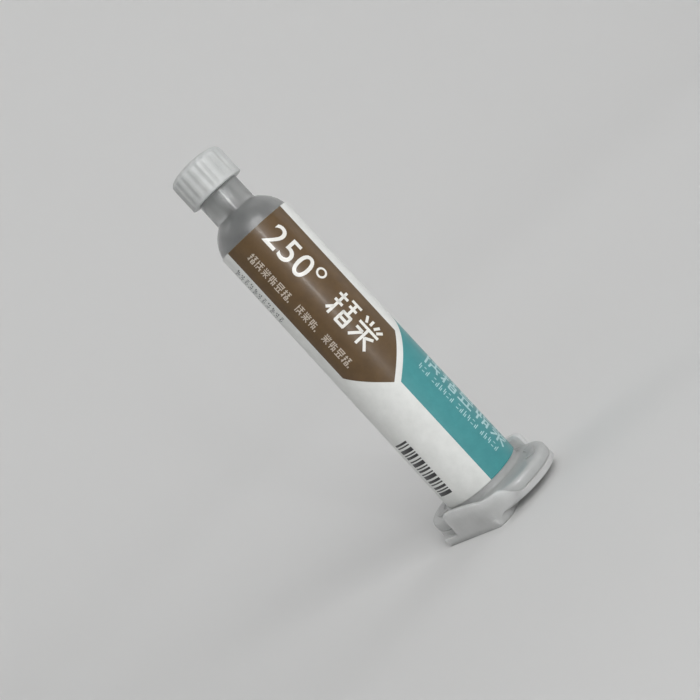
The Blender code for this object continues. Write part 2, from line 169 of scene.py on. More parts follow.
# Fine relief that paper, plastic, paste and film share: noise of one scale, raised into bumps.
fine_relief, given, put_out = shader_group(
    "fine_relief",
    {"Vector": "Vector", "Scale": "Float", "Detail": "Float", "Strength": "Float", "Distance": "Float"},
    {"Height": "Float", "Normal": "Vector"},
)
bumps = add(fine_relief, "ShaderNodeTexNoise")
raised = add(fine_relief, "ShaderNodeBump")
for label in ("Vector", "Scale", "Detail"):
    fine_relief.links.new(given.outputs[label], bumps.inputs[label])
for label in ("Strength", "Distance"):
    fine_relief.links.new(given.outputs[label], raised.inputs[label])
fine_relief.links.new(bumps.outputs["Fac"], raised.inputs["Height"])
fine_relief.links.new(bumps.outputs["Fac"], put_out.inputs["Height"])
fine_relief.links.new(raised.outputs["Normal"], put_out.inputs["Normal"])

bend = np.radians(np.linspace(0.0, 90.0, 13))
sweep_r = np.concatenate([[0.0, 60.0, 200.0], SWEEP_FLAT + SWEEP_BEND * np.sin(bend), [SWEEP_FLAT + SWEEP_BEND]])
sweep_z = np.concatenate([[0.0, 0.0, 0.0], SWEEP_BEND * (1 - np.cos(bend)), [SWEEP_HEIGHT]])
turn = np.radians(np.arange(0.0, 360.0, 5.0))
sweep = polar_mesh("sweep", sweep_r[:, None] + 0.0 * turn[None, :], sweep_z, turn, False)
sweep.data.flip_normals()
paper, tree, shader = principled("backdrop_paper", (0.74, 0.74, 0.735), 0.85)
fibre = place(tree, fine_relief, Scale=900.0, Detail=3.0, Strength=0.08, Distance=0.0002)
tree.links.new(fibre.outputs["Normal"], shader.inputs["Normal"])
sweep.data.materials.append(paper)


# Lights
# A soft key from the front right, a narrow strip close to the camera for the long thin highlight, weak lights on
# both sides, and a wash that only lights the wall behind.


def softbox(name, around, up, distance, width, height, power):
    """Area light at an angle round from the camera and up from the table, aimed at the middle of the barrel."""
    a = FACING + math.radians(around)
    e = math.radians(up)
    way = Vector((math.sin(a) * math.cos(e), -math.cos(a) * math.cos(e), math.sin(e)))
    data = bpy.data.lights.new(name, "AREA")
    data.shape = "RECTANGLE"
    data.size = width * MM
    data.size_y = height * MM
    data.energy = power
    lamp = put(name, data)
    lamp.location = (way * distance + Vector((0.0, 0.0, 45.0))) * MM
    lamp.rotation_mode = "QUATERNION"
    lamp.rotation_quaternion = way.to_track_quat("Z", "Y")
    lamp.visible_camera = False
    return lamp


softbox("key", 22.0, 32.0, 620.0, 460.0, 400.0, 2.2)
softbox("strip", 11.0, 10.0, 560.0, 14.0, 200.0, 0.55)
softbox("side", 88.0, 14.0, 520.0, 260.0, 320.0, 0.18)
softbox("fill", -62.0, 14.0, 560.0, 280.0, 320.0, 0.04)
# The wash hangs above and behind the syringe, turned away from the camera and down to the wall.
wash = softbox("wash", 180.0, 78.0, 700.0, 900.0, 300.0, 2.7)
wash.location = (toward * -150.0 + Vector((0.0, 0.0, 650.0))) * MM
wash.rotation_quaternion = (toward * 0.86 + Vector((0.0, 0.0, 0.5))).to_track_quat("Z", "Y")
world = bpy.data.worlds.new("room")
SCENE.world = world
world.use_nodes = True
world.node_tree.nodes["Background"].inputs["Color"].default_value = (0.95, 0.97, 1.0, 1.0)
world.node_tree.nodes["Background"].inputs["Strength"].default_value = 0.12
SCENE.view_settings.view_transform = "Standard"


# Barrel
# One moulding in natural polypropylene: tapered tube, domed shoulder, lock collar round the tapered nozzle,
# and the rounded finger flange. A two-start thread runs inside the collar.

FLANGE_REAR, FLANGE_FRONT = 3.1, 5.5
FLANGE_REACH, FLANGE_HALF_WIDTH, RIM_IN = 7.0, 10.3, 2.4
TUBE_TOP = 75.6
TUBE_FRONT_R, TUBE_REAR_R = 8.79, 9.24
BORE_R = 7.95
DOME_RISE, INNER_RISE = 8.2, 7.35
COLLAR_R, COLLAR_IN_R, COLLAR_TOP = 4.95, 3.95, 88.0
RECESS_FLOOR = 83.33
NOZZLE_TOP, NOZZLE_TIP_R, NOZZLE_BORE = 90.0, 1.97, 1.1
THREAD_DEPTH, THREAD_LEAD = 0.28, 5.0
SEAM_RISE, SEAM_WIDTH = 0.035, 0.016
THICK_BELOW = 8.5
STEPS = 240
ROUND = np.arange(STEPS) * 2 * math.pi / STEPS


def rounded(corners, loop=False, steps=5):
    """Outline of (r, z) from corners (r, z, fillet). A fillet is a parabola tangent to both sides of its corner."""
    points = []
    for i, (r, z, fillet) in enumerate(corners):
        here = np.array([r, z], float)
        if fillet <= 0 or (not loop and i in (0, len(corners) - 1)):
            points.append(here)
            continue
        before = np.array(corners[i - 1][:2], float) - here
        after = np.array(corners[(i + 1) % len(corners)][:2], float) - here
        near = min(fillet, 0.48 * np.linalg.norm(before), 0.48 * np.linalg.norm(after))
        start = here + before / np.linalg.norm(before) * near
        end = here + after / np.linalg.norm(after) * near
        for t in np.linspace(0.0, 1.0, steps):
            points.append((1 - t) ** 2 * start + 2 * t * (1 - t) * here + t * t * end)
    return np.array(points)


def racetrack(phi, inset=0.0):
    """Distance from the centre to the flange's outline, moved in by inset.

    It is half / |sin phi| along the straight sides, and the far root of a circle round (reach, 0) at the ends.
    """
    half = FLANGE_HALF_WIDTH - inset
    across = np.abs(np.sin(phi))
    along = np.abs(np.cos(phi))
    side = half / np.maximum(across, 1e-9)
    end = FLANGE_REACH * along + np.sqrt(np.maximum(half ** 2 - (FLANGE_REACH * across) ** 2, 0.0))
    return np.where(side * along <= FLANGE_REACH, side, end)


def tube_radius(z):
    """Outside radius of the tube: a straight taper from the flange to the shoulder."""
    return TUBE_FRONT_R + (TUBE_REAR_R - TUBE_FRONT_R) * (TUBE_TOP - np.asarray(z)) / (TUBE_TOP - FLANGE_FRONT)


def nozzle_radius(z):
    """Outside radius of the nozzle, which has the usual 6 percent taper."""
    return NOZZLE_TIP_R + 0.03 * (NOZZLE_TOP - z)


dome_at = np.radians(np.linspace(52.0, 0.0, 22))
inner_at = np.radians(np.linspace(0.0, 80.0, 20))
neck = [
    (NOZZLE_BORE, NOZZLE_TOP, 0.1),
    (NOZZLE_TIP_R, NOZZLE_TOP, 0.3),
    (nozzle_radius(RECESS_FLOOR), RECESS_FLOOR, 0.25),
    (COLLAR_IN_R, RECESS_FLOOR, 0.25),
    (COLLAR_IN_R, COLLAR_TOP, 0.12),
    (COLLAR_R - 0.06, COLLAR_TOP, 0.25),
    (COLLAR_R, 82.36, 0.6),
]
neck += [(TUBE_FRONT_R * math.cos(a), TUBE_TOP + DOME_RISE * math.sin(a), 0.0) for a in dome_at]
upper = rounded(neck + [(tube_radius(60.0), 60.0, 0.0)])
foot_r = float(tube_radius(FLANGE_FRONT + 0.6))
foot = [(foot_r, FLANGE_FRONT + 1.5, 0.0), (foot_r, FLANGE_FRONT, 0.6), (foot_r + 1.1, FLANGE_FRONT, 0.0)]
foot = rounded(foot)[:-1]
foot_end = float(foot[-1][0])
# Beside the tube the flange is narrow, so the rounding of its rim is squeezed there.
squeeze = np.minimum(1.0, (racetrack(ROUND) - foot_end) / 2.5)
rim = [(RIM_IN, FLANGE_FRONT, 0), (0, FLANGE_FRONT, 1.15), (0, FLANGE_REAR, 0.35), (RIM_IN, FLANGE_REAR, 0)]
rim = rounded(rim, steps=8)

seam = SEAM_RISE * np.exp(-(np.sin(ROUND) / SEAM_WIDTH) ** 2)
thread_rows = np.linspace(RECESS_FLOOR + 0.35, COLLAR_TOP - 0.2, 44)
rows_r, rows_z = [], []
for r, z in upper:
    outside = 1.0 if z < COLLAR_TOP - 0.4 and r > COLLAR_IN_R + 0.5 else 0.0
    rows_r.append(r + seam * outside)
    rows_z.append(z)
    if len(rows_r) > 1 and abs(r - COLLAR_IN_R) < 1e-6 and abs(z - (RECESS_FLOOR + 0.25)) < 0.02:
        for level in thread_rows:
            wave = np.cos(2 * ROUND - 4 * math.pi * (level - RECESS_FLOOR) / THREAD_LEAD)
            fade = np.clip(min(level - RECESS_FLOOR - 0.3, COLLAR_TOP - level) / 0.6, 0.0, 1.0)
            ridge = np.clip((wave - 0.45) / 0.35, 0.0, 1.0) ** 0.8
            rows_r.append(COLLAR_IN_R - THREAD_DEPTH * fade * ridge)
            rows_z.append(level)
for r, z in foot:
    rows_r.append(np.full(STEPS, r))
    rows_z.append(z)
for share in (0.35, 0.7):
    rows_r.append((1 - share) * foot_end + share * racetrack(ROUND, RIM_IN * squeeze))
    rows_z.append(FLANGE_FRONT)
for inset, z in rim:
    rows_r.append(racetrack(ROUND, inset * squeeze))
    rows_z.append(z)
inside = rounded([(8.9, FLANGE_REAR, 0.0), (BORE_R, FLANGE_REAR, 0.4), (BORE_R, 30.0, 0.0)])[1:-1]
inside = list(map(tuple, inside)) + [(BORE_R, z) for z in (20.0, 40.0, 60.0)]
inside += [(BORE_R * math.cos(a), TUBE_TOP + INNER_RISE * math.sin(a)) for a in inner_at]
inside += [(NOZZLE_BORE, TUBE_TOP + INNER_RISE + 0.2)]
for r, z in inside:
    rows_r.append(np.full(STEPS, r))
    rows_z.append(z)
barrel = polar_mesh("barrel_moulding", np.array(rows_r), rows_z, ROUND, True)

# Cloudy colour that every plastic and ink shares: noise that mixes a darker and a lighter tone.
cloudy_colour, given, put_out = shader_group(
    "cloudy_colour",
    {"Vector": "Vector", "Scale": "Float", "Detail": "Float", "Roughness": "Float",
     "Dark": "Color", "Light": "Color"},
    {"Color": "Color", "Cloud": "Float"},
)
cloud = add(cloudy_colour, "ShaderNodeTexNoise")
spread = add(cloudy_colour, "ShaderNodeMapRange", From_Min=0.3, From_Max=0.7)
tint = add(cloudy_colour, "ShaderNodeMix", data_type="RGBA")
for label in ("Vector", "Scale", "Detail", "Roughness"):
    cloudy_colour.links.new(given.outputs[label], cloud.inputs[label])
cloudy_colour.links.new(cloud.outputs["Fac"], spread.inputs["Value"])
cloudy_colour.links.new(spread.outputs["Result"], tint.inputs[0])
cloudy_colour.links.new(given.outputs["Dark"], tint.inputs[6])
cloudy_colour.links.new(given.outputs["Light"], tint.inputs[7])
cloudy_colour.links.new(tint.outputs[2], put_out.inputs["Color"])
cloudy_colour.links.new(cloud.outputs["Fac"], put_out.inputs["Cloud"])


def milky(name, dark, light, share, clear, skin):
    """Natural translucent plastic: cloudy bulk that lets a share of the light through, under a glossier skin."""
    material, tree, shader = principled(
        name, light, 0.4, Transmission_Weight=share, IOR=1.45, Coat_Weight=skin, Coat_Roughness=0.15,
        Subsurface_Weight=clear, Subsurface_Scale=0.005, Subsurface_Radius=(1.0, 1.0, 1.0),
    )
    bulk = place(
        tree, cloudy_colour, Scale=260.0, Detail=5.0, Roughness=0.6, Dark=(*dark, 1.0), Light=(*light, 1.0)
    )
    haze = add(tree, "ShaderNodeMapRange", To_Min=0.34, To_Max=0.5)
    peel = place(tree, fine_relief, Scale=1600.0, Detail=2.0, Strength=0.1, Distance=0.00005)
    tree.links.new(bulk.outputs["Color"], shader.inputs["Base Color"])
    tree.links.new(bulk.outputs["Cloud"], haze.inputs["Value"])
    tree.links.new(haze.outputs["Result"], shader.inputs["Roughness"])
    tree.links.new(peel.outputs["Normal"], shader.inputs["Normal"])
    return material


barrel_plastic = milky("natural_polypropylene", (0.74, 0.75, 0.745), (0.84, 0.85, 0.845), 0.9, 0.0, 0.5)
thick_plastic = milky("thick_polypropylene", (0.58, 0.59, 0.585), (0.68, 0.69, 0.685), 0.35, 0.6, 0.5)
barrel.data.materials.append(barrel_plastic)
barrel.data.materials.append(thick_plastic)
centres = np.empty(3 * len(barrel.data.polygons), np.float32)
barrel.data.polygons.foreach_get("center", centres)
barrel.data.polygons.foreach_set("material_index", (centres[2::3] < THICK_BELOW * MM).astype(np.int32))
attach(barrel, "barrel")
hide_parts("barrel")

# A low curved pad stands on each lobe of the flange, round the middle of the lobe's arc.
PAD_FROM, PAD_TO, PAD_IN, PAD_OUT, PAD_RISE, PAD_SUNK = 18.0, 74.0, 6.3, 8.4, 0.22, 0.1
pad_arc = np.radians(np.linspace(PAD_FROM, PAD_TO, 15))
pad_at = np.concatenate([pad_arc, pad_arc[::-1]])
pad_r = np.repeat([PAD_OUT, PAD_IN], 15)
outline = np.stack([FLANGE_REACH + pad_r * np.cos(pad_at), pad_r * np.sin(pad_at)], axis=1)
for number, half_turn in enumerate((0.0, math.pi), start=1):
    mesh = bpy.data.meshes.new(f"flange_pad_{number}")
    work = bmesh.new()
    low = [work.verts.new((x * MM, y * MM, (FLANGE_FRONT - PAD_SUNK) * MM)) for x, y in outline]
    face = work.faces.new(low)
    lifted = bmesh.ops.extrude_face_region(work, geom=[face])["geom"]
    top = [v for v in lifted if isinstance(v, bmesh.types.BMVert)]
    bmesh.ops.translate(work, vec=(0.0, 0.0, (PAD_RISE + PAD_SUNK) * MM), verts=top)
    bmesh.ops.recalc_face_normals(work, faces=work.faces)
    edges = [e for e in work.edges if all(v.co.z > FLANGE_FRONT * MM for v in e.verts)]
    bmesh.ops.bevel(work, geom=edges, offset=0.09 * MM, segments=2, profile=0.5, affect="EDGES")
    bmesh.ops.rotate(work, verts=work.verts, cent=(0, 0, 0), matrix=Matrix.Rotation(half_turn, 3, "Z"))
    work.to_mesh(mesh)
    work.free()
    mesh.shade_smooth()
    mesh.set_sharp_from_angle(angle=math.radians(38))
    pad = put(f"flange_pad_{number}", mesh)
    pad.data.materials.append(thick_plastic)
    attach(pad, "barrel")


# Solder paste
# Grey metal powder in sticky flux. The column fills the bore from the piston's nose up to the shoulder. The part in
# dome and the nozzle goes with the barrel, hollowed to take the piston's nose.

PISTON_FRONT, PISTON_NOSE = 30.0, 4.0
PISTON_R = 7.89
PASTE_GAP = 0.05
NOSE_MEET = 75.45

paste_look, tree, shader = principled("solder_paste", (0.12, 0.12, 0.125), 0.45, Metallic=0.25)
powder = place(tree, fine_relief, Scale=9000.0, Detail=2.0, Strength=0.35, Distance=0.00008)
where = add(tree, "ShaderNodeTexCoord")
smear = add(tree, "ShaderNodeTexNoise", Scale=240.0, Detail=3.0, Distortion=0.6)
grey = add(tree, "ShaderNodeValToRGB")
grey.color_ramp.elements[0].position = 0.35
grey.color_ramp.elements[0].color = (0.052, 0.052, 0.056, 1.0)
grey.color_ramp.elements[1].position = 0.72
grey.color_ramp.elements[1].color = (0.12, 0.12, 0.125, 1.0)
blend_in = add(tree, "ShaderNodeMath", operation="MULTIPLY_ADD")
blend_in.inputs[1].default_value = 0.35
tree.links.new(where.outputs["Object"], smear.inputs["Vector"])
tree.links.new(powder.outputs["Height"], blend_in.inputs[0])
tree.links.new(smear.outputs["Fac"], blend_in.inputs[2])
tree.links.new(blend_in.outputs["Value"], grey.inputs["Fac"])
tree.links.new(grey.outputs["Color"], shader.inputs["Base Color"])
tree.links.new(powder.outputs["Normal"], shader.inputs["Normal"])

nose_at = np.radians(np.linspace(0.0, 90.0, 14))
paste_r = BORE_R - PASTE_GAP
column = [(paste_r * math.cos(a), NOSE_MEET + 0.04 + PISTON_NOSE * math.sin(a)) for a in nose_at[::-1]]
column[0] = (0.0, NOSE_MEET + 0.04 + PISTON_NOSE)
column += [(PISTON_R * math.cos(a), PISTON_FRONT + PASTE_GAP + PISTON_NOSE * math.sin(a)) for a in nose_at]
column[-1] = (0.0, PISTON_FRONT + PASTE_GAP + PISTON_NOSE)
column = np.array(column)
paste_column = polar_mesh("paste_column", column[:, :1] + 0.0 * ROUND, column[:, 1], ROUND, False)
paste_column.data.materials.append(paste_look)
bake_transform(paste_column)

dome_fill = [(0.0, NOZZLE_TOP - 1.4), (NOZZLE_BORE - PASTE_GAP, NOZZLE_TOP - 1.5)]
dome_fill += [(NOZZLE_BORE - PASTE_GAP, TUBE_TOP + INNER_RISE)]
fill_at = np.radians(np.linspace(80.0, 0.0, 24))
dome_fill += [(paste_r * math.cos(a), TUBE_TOP + (INNER_RISE - PASTE_GAP) * math.sin(a)) for a in fill_at]
dome_fill += [(paste_r * math.cos(a), NOSE_MEET + 0.1 + PISTON_NOSE * math.sin(a)) for a in nose_at]
dome_fill[-1] = (0.0, NOSE_MEET + 0.1 + PISTON_NOSE)
dome_fill = np.array(dome_fill)
paste_nose = polar_mesh("paste_nose", dome_fill[:, :1] + 0.0 * ROUND, dome_fill[:, 1], ROUND, False)
paste_nose.data.materials.append(paste_look)
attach(paste_nose, "barrel")
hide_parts("solder_paste")


# Piston
# A white hollow moulding in soft polyethylene, open to the rear. A rounded wiper lip at each end runs in the
# bore, with a slim waist between them, and the domed nose fits the hollow of the paste.

PISTON_REAR, WAIST_R = 18.0, 7.34
CUP_R, CUP_FLOOR = 6.04, 28.7
LIP_FROM, WAIST_TO, WAIST_FROM, LIP_TO = 28.7, 28.1, 19.9, 19.3
cup = [(PISTON_R * math.cos(a), PISTON_FRONT + PISTON_NOSE * math.sin(a), 0.0) for a in nose_at[::-1]]
cup[0] = (0.0, PISTON_FRONT + PISTON_NOSE, 0.0)
cup[-1] = (PISTON_R, PISTON_FRONT, 0.25)
cup += [(PISTON_R, LIP_FROM, 0.35), (WAIST_R, WAIST_TO, 0.4), (WAIST_R, WAIST_FROM, 0.4), (PISTON_R, LIP_TO, 0.35)]
cup += [(PISTON_R, PISTON_REAR, 0.25), (CUP_R, PISTON_REAR, 0.3), (CUP_R, CUP_FLOOR, 0.0)]
cup += [(CUP_R * math.cos(a), CUP_FLOOR + PISTON_NOSE * math.sin(a), 0.0) for a in nose_at[1:]]
cup[-1] = (0.0, CUP_FLOOR + PISTON_NOSE, 0.0)
cup = rounded(cup)
piston = polar_mesh("piston_moulding", cup[:, :1] + 0.0 * ROUND, cup[:, 1], ROUND, False)
piston_plastic, tree, shader = principled(
    "wiper_polyethylene", (0.78, 0.78, 0.76), 0.38, Subsurface_Weight=0.25, Subsurface_Scale=0.002,
    Subsurface_Radius=(1.0, 1.0, 1.0),
)
milk = place(
    tree, cloudy_colour, Scale=320.0, Detail=4.0, Roughness=0.5, Dark=(0.70, 0.70, 0.68, 1.0),
    Light=(0.82, 0.82, 0.80, 1.0),
)
tree.links.new(milk.outputs["Color"], shader.inputs["Base Color"])
piston.data.materials.append(piston_plastic)
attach(piston, "piston")
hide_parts("piston")


# Label film
# A laminated film wrapped round the tube, straight as far as the shoulder. Its two ends leave a narrow strip
# open at the back. All the print is flat ink under the laminate, laid on as thin skins.

LABEL_REAR, LABEL_FRONT = 7.1, 77.05
LABEL_OUT, FILM_DEPTH = 0.13, 0.1
FRONT_ANGLE = FACING - math.pi / 2
LABEL_HALF_TURN = math.radians(170.6)
INK_LIFT = 0.012
FLAT_R = 9.1
CUT = 0.4
TAPER_LEAN = (TUBE_REAR_R - TUBE_FRONT_R) / (TUBE_TOP - FLANGE_FRONT)


def label_radius(z):
    """Outside radius of the film, which keeps the tube's taper and runs on straight past the shoulder."""
    return tube_radius(z) + LABEL_OUT


span = np.linspace(-LABEL_HALF_TURN, LABEL_HALF_TURN, 180)
section = rounded(
    [(0.0, LABEL_FRONT, 0.04), (0.0, LABEL_REAR, 0.04),
     (-FILM_DEPTH, LABEL_REAR, 0.03), (-FILM_DEPTH, LABEL_FRONT, 0.03)],
    loop=True,
    steps=3,
)
depth, level = section[:, :1], section[:, 1:]
r = label_radius(level) + depth
around = FRONT_ANGLE + span
grid = np.stack(np.broadcast_arrays(r * np.cos(around), r * np.sin(around), level), axis=-1)
index = np.arange(r.size * span.size).reshape(r.size, span.size)
below = np.roll(index, -1, axis=0)
faces = np.stack([index[:, :-1], below[:, :-1], below[:, 1:], index[:, 1:]], axis=-1).reshape(-1, 4).tolist()
faces += [index[:, 0].tolist(), index[::-1, -1].tolist()]
film_mesh = bpy.data.meshes.new("label_film")
film_mesh.from_pydata((grid.reshape(-1, 3) * MM).tolist(), [], faces)
work = bmesh.new()
work.from_mesh(film_mesh)
bmesh.ops.recalc_face_normals(work, faces=work.faces)
work.to_mesh(film_mesh)
work.free()
film_mesh.shade_smooth()
film_mesh.set_sharp_from_angle(angle=math.radians(38))
film = put("label_film", film_mesh)


def laminate(name, dark, light, roughness):
    """Printed film of one ink colour: slightly uneven ink, and a soft laminate gloss with a faint ripple."""
    material, tree, shader = principled(name, light, roughness, Coat_Weight=0.25, Coat_Roughness=0.18)
    ink = place(
        tree, cloudy_colour, Scale=420.0, Detail=5.0, Roughness=0.65, Dark=(*dark, 1.0), Light=(*light, 1.0)
    )
    ripple = place(tree, fine_relief, Scale=180.0, Detail=2.0, Strength=0.1, Distance=0.0002)
    tree.links.new(ink.outputs["Color"], shader.inputs["Base Color"])
    tree.links.new(ripple.outputs["Normal"], shader.inputs["Normal"])
    return material


film.data.materials.append(laminate("film_white", (0.72, 0.73, 0.71), (0.79, 0.80, 0.78), 0.34))
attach(film, "barrel")
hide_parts("label")


# Print on the label
# A brown banner that ends in a point, a teal panel beside it, a plain number with a ring, and groups of short
# strokes in the places of the words. Shapes are drawn flat, as (millimetres round, height), then wrapped.


def baked(curve):
    """Mesh of a curve or text, which is removed."""
    guide = put("guide", curve)
    bpy.context.view_layer.update()
    mesh = bpy.data.meshes.new_from_object(guide.evaluated_get(bpy.context.evaluated_depsgraph_get()))
    bpy.data.objects.remove(guide, do_unlink=True)
    bpy.data.curves.remove(curve)
    return mesh


def flat_shape(outlines):
    """Mesh of flat outlines, filled with the even-odd rule, so an outline inside another one is a hole."""
    curve = bpy.data.curves.new("flat", "CURVE")
    curve.dimensions = "2D"
    curve.fill_mode = "BOTH"
    for outline in outlines:
        spline = curve.splines.new("POLY")
        spline.points.add(len(outline) - 1)
        spline.points.foreach_set("co", [c for x, y in outline for c in (x, y, 0.0, 1.0)])
        spline.use_cyclic_u = True
    return baked(curve)


def flat_digits(body, size, bold):
    """Mesh of plain digits with their lower left corner at the origin."""
    text = bpy.data.curves.new("digits", "FONT")
    text.body = body
    text.size = size
    text.offset = bold
    text.space_character = 1.06
    text.resolution_u = 6
    return baked(text)


def wrap(name, meshes, lift, material):
    """Bend flat shapes onto the film: x becomes the angle x / FLAT_R, y the height, and r is the film's plus lift.

    The shapes are first cut every CUT mm round, so that they follow the curve, and get the cylinder's own normals.
    """
    work = bmesh.new()
    for mesh in meshes:
        work.from_mesh(mesh)
        bpy.data.meshes.remove(mesh)
    bmesh.ops.remove_doubles(work, verts=work.verts, dist=1e-5)
    low = min(v.co.x for v in work.verts)
    high = max(v.co.x for v in work.verts)
    for cut in np.arange(math.ceil(low / CUT) * CUT, high, CUT):
        every = work.verts[:] + work.edges[:] + work.faces[:]
        bmesh.ops.bisect_plane(work, geom=every, dist=1e-6, plane_co=(cut, 0, 0), plane_no=(1, 0, 0))
    work.normal_update()
    bmesh.ops.reverse_faces(work, faces=[f for f in work.faces if f.normal.z < 0])
    mesh = bpy.data.meshes.new(name)
    work.to_mesh(mesh)
    work.free()
    flat = np.empty(3 * len(mesh.vertices), np.float32)
    mesh.vertices.foreach_get("co", flat)
    x, y, _ = flat.reshape(-1, 3).astype(float).T
    around = FRONT_ANGLE + x / FLAT_R
    r = label_radius(y) + lift
    bent = np.stack([r * np.cos(around), r * np.sin(around), y], axis=1) * MM
    mesh.vertices.foreach_set("co", bent.ravel())
    mesh.update()
    mesh.shade_smooth()
    normals = np.stack([np.cos(around), np.sin(around), np.full(len(x), TAPER_LEAN)], axis=1)
    mesh.normals_split_custom_set_from_vertices(normals.tolist())
    obj = put(name, mesh)
    obj.data.materials.append(material)
    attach(obj, "barrel")
    return obj


def arc_of(degrees):
    """Millimetres round the flat label for an angle from the side that faces the camera."""
    return math.radians(degrees) * FLAT_R


def bar(x0, x1, y0, y1):
    """Outline of an upright rectangle."""
    return [(x0, y0), (x1, y0), (x1, y1), (x0, y1)]


def ring(x, y, radius, width):
    """Two outlines (x + r cos a, y + r sin a) that make a ring, for r = radius and r = radius less width."""
    turns = np.radians(np.arange(0.0, 360.0, 10.0))
    return [[(x + r * math.cos(a), y + r * math.sin(a)) for a in turns] for r in (radius, radius - width)]


def strokes(pattern, x, y, tall, long, width):
    """Outlines of straight strokes (u0, v0, u1, v1) in a cell: u runs down the barrel from y, v round it from x."""
    outlines = []
    for u0, v0, u1, v1 in pattern:
        start = np.array([x + v0 * tall, y - u0 * long])
        end = np.array([x + v1 * tall, y - u1 * long])
        way = (end - start) / np.linalg.norm(end - start)
        side = np.array([-way[1], way[0]]) * width / 2
        outlines.append([tuple(start + side), tuple(start - side), tuple(end - side), tuple(end + side)])
    return outlines


# Cells of straight strokes (u0, v0, u1, v1), each between 0 and 1. They are made up, and are no real characters.
CELLS = [
    [(0.20, 0.98, 0.20, 0.02), (0.00, 0.80, 0.42, 0.80), (0.02, 0.54, 0.40, 0.54), (0.20, 0.34, 0.00, 0.12),
     (0.52, 0.94, 1.00, 0.94), (0.58, 0.72, 0.94, 0.72), (0.76, 0.94, 0.76, 0.48), (0.54, 0.44, 0.98, 0.44),
     (0.54, 0.06, 0.98, 0.06), (0.57, 0.46, 0.57, 0.04), (0.95, 0.46, 0.95, 0.04), (0.57, 0.25, 0.95, 0.25)],
    [(0.10, 0.98, 0.24, 0.76), (0.42, 0.99, 0.42, 0.78), (0.62, 0.78, 0.76, 0.98), (0.80, 0.74, 0.98, 0.92),
     (0.00, 0.64, 1.00, 0.64), (0.50, 0.64, 0.50, 0.02), (0.06, 0.44, 0.40, 0.44), (0.40, 0.44, 0.04, 0.06),
     (0.92, 0.50, 0.60, 0.34), (0.58, 0.36, 0.96, 0.04)],
    [(0.02, 0.95, 0.98, 0.95), (0.12, 0.95, 0.12, 0.62), (0.88, 0.95, 0.88, 0.62), (0.12, 0.74, 0.88, 0.74),
     (0.02, 0.50, 0.98, 0.50), (0.30, 0.50, 0.30, 0.08), (0.70, 0.50, 0.70, 0.08), (0.02, 0.08, 0.98, 0.08)],
    [(0.08, 0.96, 0.08, 0.04), (0.08, 0.60, 0.24, 0.72), (0.36, 0.92, 0.98, 0.92), (0.36, 0.68, 0.98, 0.68),
     (0.66, 0.92, 0.66, 0.30), (0.30, 0.34, 1.00, 0.34), (0.40, 0.30, 0.34, 0.04), (0.80, 0.30, 0.92, 0.04)],
    [(0.02, 0.88, 0.44, 0.88), (0.60, 0.98, 0.56, 0.60), (0.60, 0.80, 0.98, 0.80), (0.10, 0.88, 0.10, 0.40),
     (0.34, 0.88, 0.34, 0.40), (0.02, 0.40, 0.46, 0.40), (0.56, 0.52, 0.98, 0.52), (0.22, 0.40, 0.22, 0.03),
     (0.66, 0.52, 0.60, 0.05), (0.90, 0.52, 0.90, 0.05), (0.62, 0.22, 0.90, 0.22)],
]
MINI_CELLS = [
    [(0.20, 0.0, 0.20, 1.0), (0.65, 0.0, 0.65, 0.55)],
    [(0.20, 0.0, 0.20, 0.55), (0.65, 0.0, 0.65, 0.85)],
    [(0.10, 0.85, 0.85, 0.85), (0.10, 0.15, 0.85, 0.15)],
    [(0.20, 0.25, 0.20, 1.0), (0.65, 0.0, 0.65, 0.75)],
]

brown_ink = laminate("ink_brown", (0.092, 0.052, 0.019), (0.120, 0.069, 0.026), 0.36)
teal_ink = laminate("ink_teal", (0.040, 0.245, 0.262), (0.052, 0.285, 0.300), 0.34)
white_ink = laminate("ink_white", (0.76, 0.75, 0.71), (0.84, 0.83, 0.79), 0.34)
beige_ink = laminate("ink_beige", (0.50, 0.44, 0.37), (0.60, 0.53, 0.45), 0.34)
black_ink = laminate("ink_black", (0.018, 0.018, 0.020), (0.032, 0.032, 0.034), 0.34)
grey_ink = laminate("ink_grey", (0.10, 0.11, 0.115), (0.15, 0.16, 0.165), 0.34)
pale_ink = laminate("ink_pale", (0.36, 0.58, 0.60), (0.46, 0.68, 0.70), 0.34)

banner = [
    (arc_of(-51.9), LABEL_FRONT - 0.02),
    (arc_of(-50.8), 42.6),
    (arc_of(0.8), 35.3),
    (arc_of(54.2), 42.6),
    (arc_of(55.2), LABEL_FRONT - 0.02),
]
wrap("print_banner", [flat_shape([banner])], INK_LIFT, brown_ink)
panel = [
    (arc_of(7.2), LABEL_REAR + 0.02),
    (arc_of(7.2), 34.43),
    (arc_of(90.0), 45.2),
    (arc_of(122.0), 45.2),
    (arc_of(122.0), LABEL_REAR + 0.02),
]
wrap("print_panel", [flat_shape([panel])], INK_LIFT, teal_ink)

NUMBER_LONG, NUMBER_TALL, NUMBER_TOP = 11.3, 5.35, 74.5
digits = flat_digits("250", 7.9, 0.05)
flat = np.empty(3 * len(digits.vertices), np.float32)
digits.vertices.foreach_get("co", flat)
flat = flat.reshape(-1, 3).astype(float)
share = (flat - flat.min(axis=0)) / np.maximum(np.ptp(flat, axis=0), 1e-9)
flat[:, 0] = arc_of(-0.6) + share[:, 1] * NUMBER_TALL
flat[:, 1] = NUMBER_TOP - share[:, 0] * NUMBER_LONG
digits.vertices.foreach_set("co", flat.ravel())
degree = flat_shape(ring(arc_of(28.2), 61.4, 1.2, 0.45))
wrap("print_number", [digits, degree], 2 * INK_LIFT, white_ink)

